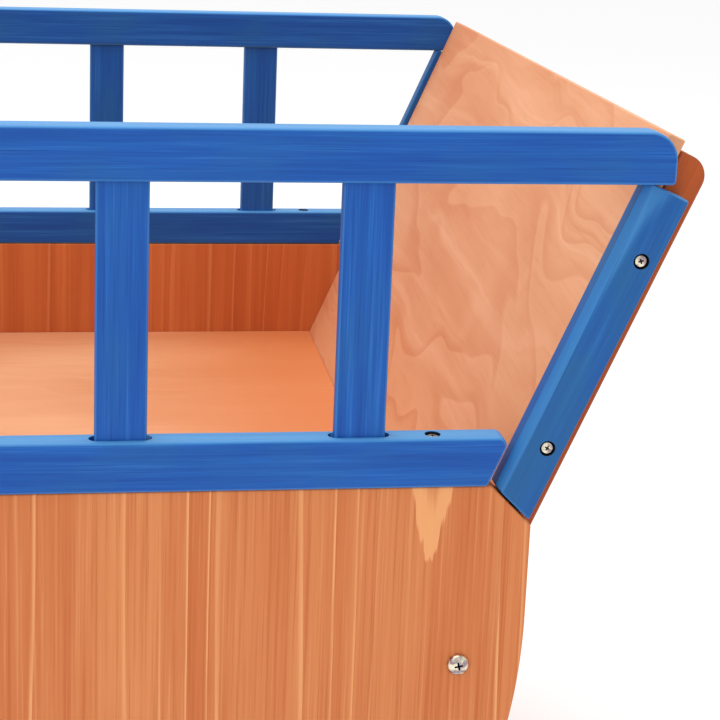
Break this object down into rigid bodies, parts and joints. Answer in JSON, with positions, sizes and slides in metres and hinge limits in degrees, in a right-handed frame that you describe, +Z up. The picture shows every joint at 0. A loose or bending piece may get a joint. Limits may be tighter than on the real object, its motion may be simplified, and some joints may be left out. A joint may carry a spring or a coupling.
{
  "type": "wooden pull-along wagon",
  "caption": "Child's wooden pull wagon: stained tub with flared ends, blue spindle railings, steered front axle, tyred wheels and a hinged pull handle.",
  "frame": {"origin": "on the ground, under the middle of the whole wagon with its handle down", "axes": "+X towards the rear end, away from the handle; +Y to the right-hand side; +Z up"},
  "size_m": [1.3626, 0.5832, 0.5935],
  "materials": {
    "pine": "orange-brown stain, satin",
    "plywood": "orange-brown stain, satin",
    "batten": "dark orange stain, satin",
    "blue_wood": "blue translucent stain",
    "zinc": "zinc plated",
    "black_steel": "black powder coat",
    "black_plastic": "matt black",
    "wheel_plastic": "satin blue moulding",
    "tyre": "matt black rubber"
  },
  "bodies": {
    "tub": {"floor_board": "plywood", "side_panel_left": "pine", "side_panel_right": "pine", "end_panel_front": "plywood", "end_panel_rear": "plywood", "end_batten_front_left": "batten", "corner_post_front_left": "blue_wood", "end_batten_front_right": "batten", "corner_post_front_right": "blue_wood", "end_batten_rear_left": "batten", "corner_post_rear_left": "blue_wood", "end_batten_rear_right": "batten", "corner_post_rear_right": "blue_wood", "bottom_rail_left": "blue_wood", "top_rail_left": "blue_wood", "spindle_left_1": "blue_wood", "spindle_left_2": "blue_wood", "spindle_left_3": "blue_wood", "spindle_left_4": "blue_wood", "spindle_left_5": "blue_wood", "bottom_rail_right": "blue_wood", "top_rail_right": "blue_wood", "spindle_right_1": "blue_wood", "spindle_right_2": "blue_wood", "spindle_right_3": "blue_wood", "spindle_right_4": "blue_wood", "spindle_right_5": "blue_wood", "cross_beam_middle": "pine", "cross_beam_front": "pine", "side_bolt_front_left": "zinc", "side_bolt_front_right": "zinc", "cross_beam_rear": "pine", "side_bolt_rear_left": "zinc", "side_bolt_rear_right": "zinc", "chassis_rail_left": "pine", "chassis_rail_right": "pine", "rear_axle_board": "pine", "rear_axle_rod": "zinc", "front_bolster": "pine", "king_bolt": "zinc", "king_nut": "zinc", "axle_cap_rear_left": "black_plastic", "axle_cap_rear_right": "black_plastic"},
    "front_axle": {"turntable_plate": "black_steel", "front_axle_board": "pine", "front_axle_rod": "zinc", "drawbar_bracket": "black_steel", "drawbar_pin": "zinc", "axle_cap_front_left": "black_plastic", "axle_cap_front_right": "black_plastic"},
    "pull_handle": {"drawbar_shaft": "pine", "grip_bar": "blue_wood"},
    "wheel_front_left_body": {"wheel_front_left": "wheel_plastic", "tyre_front_left": "tyre"},
    "wheel_front_right_body": {"wheel_front_right": "wheel_plastic", "tyre_front_right": "tyre"},
    "wheel_rear_left_body": {"wheel_rear_left": "wheel_plastic", "tyre_rear_left": "tyre"},
    "wheel_rear_right_body": {"wheel_rear_right": "wheel_plastic", "tyre_rear_right": "tyre"}
  },
  "joints": [
    {"name": "steering", "type": "hinge", "parent": "tub", "child": "front_axle", "pos_m": [-0.03364, 0, 0.1768], "axis": [0, 0, 1], "range_deg": [-40, 40]},
    {"name": "handle_lift", "type": "hinge", "parent": "front_axle", "child": "pull_handle", "pos_m": [-0.09064, 0, 0.13], "axis": [0, 1, 0], "range_deg": [0, 65]},
    {"name": "wheel_spin_front_left", "type": "hinge", "parent": "front_axle", "child": "wheel_front_left_body", "pos_m": [-0.03364, -0.217, 0.095], "axis": [0, 1, 0], "continuous": true},
    {"name": "wheel_spin_front_right", "type": "hinge", "parent": "front_axle", "child": "wheel_front_right_body", "pos_m": [-0.03364, 0.217, 0.095], "axis": [0, 1, 0], "continuous": true},
    {"name": "wheel_spin_rear_left", "type": "hinge", "parent": "tub", "child": "wheel_rear_left_body", "pos_m": [0.50636, -0.217, 0.095], "axis": [0, 1, 0], "continuous": true},
    {"name": "wheel_spin_rear_right", "type": "hinge", "parent": "tub", "child": "wheel_rear_right_body", "pos_m": [0.50636, 0.217, 0.095], "axis": [0, 1, 0], "continuous": true}
  ]
}
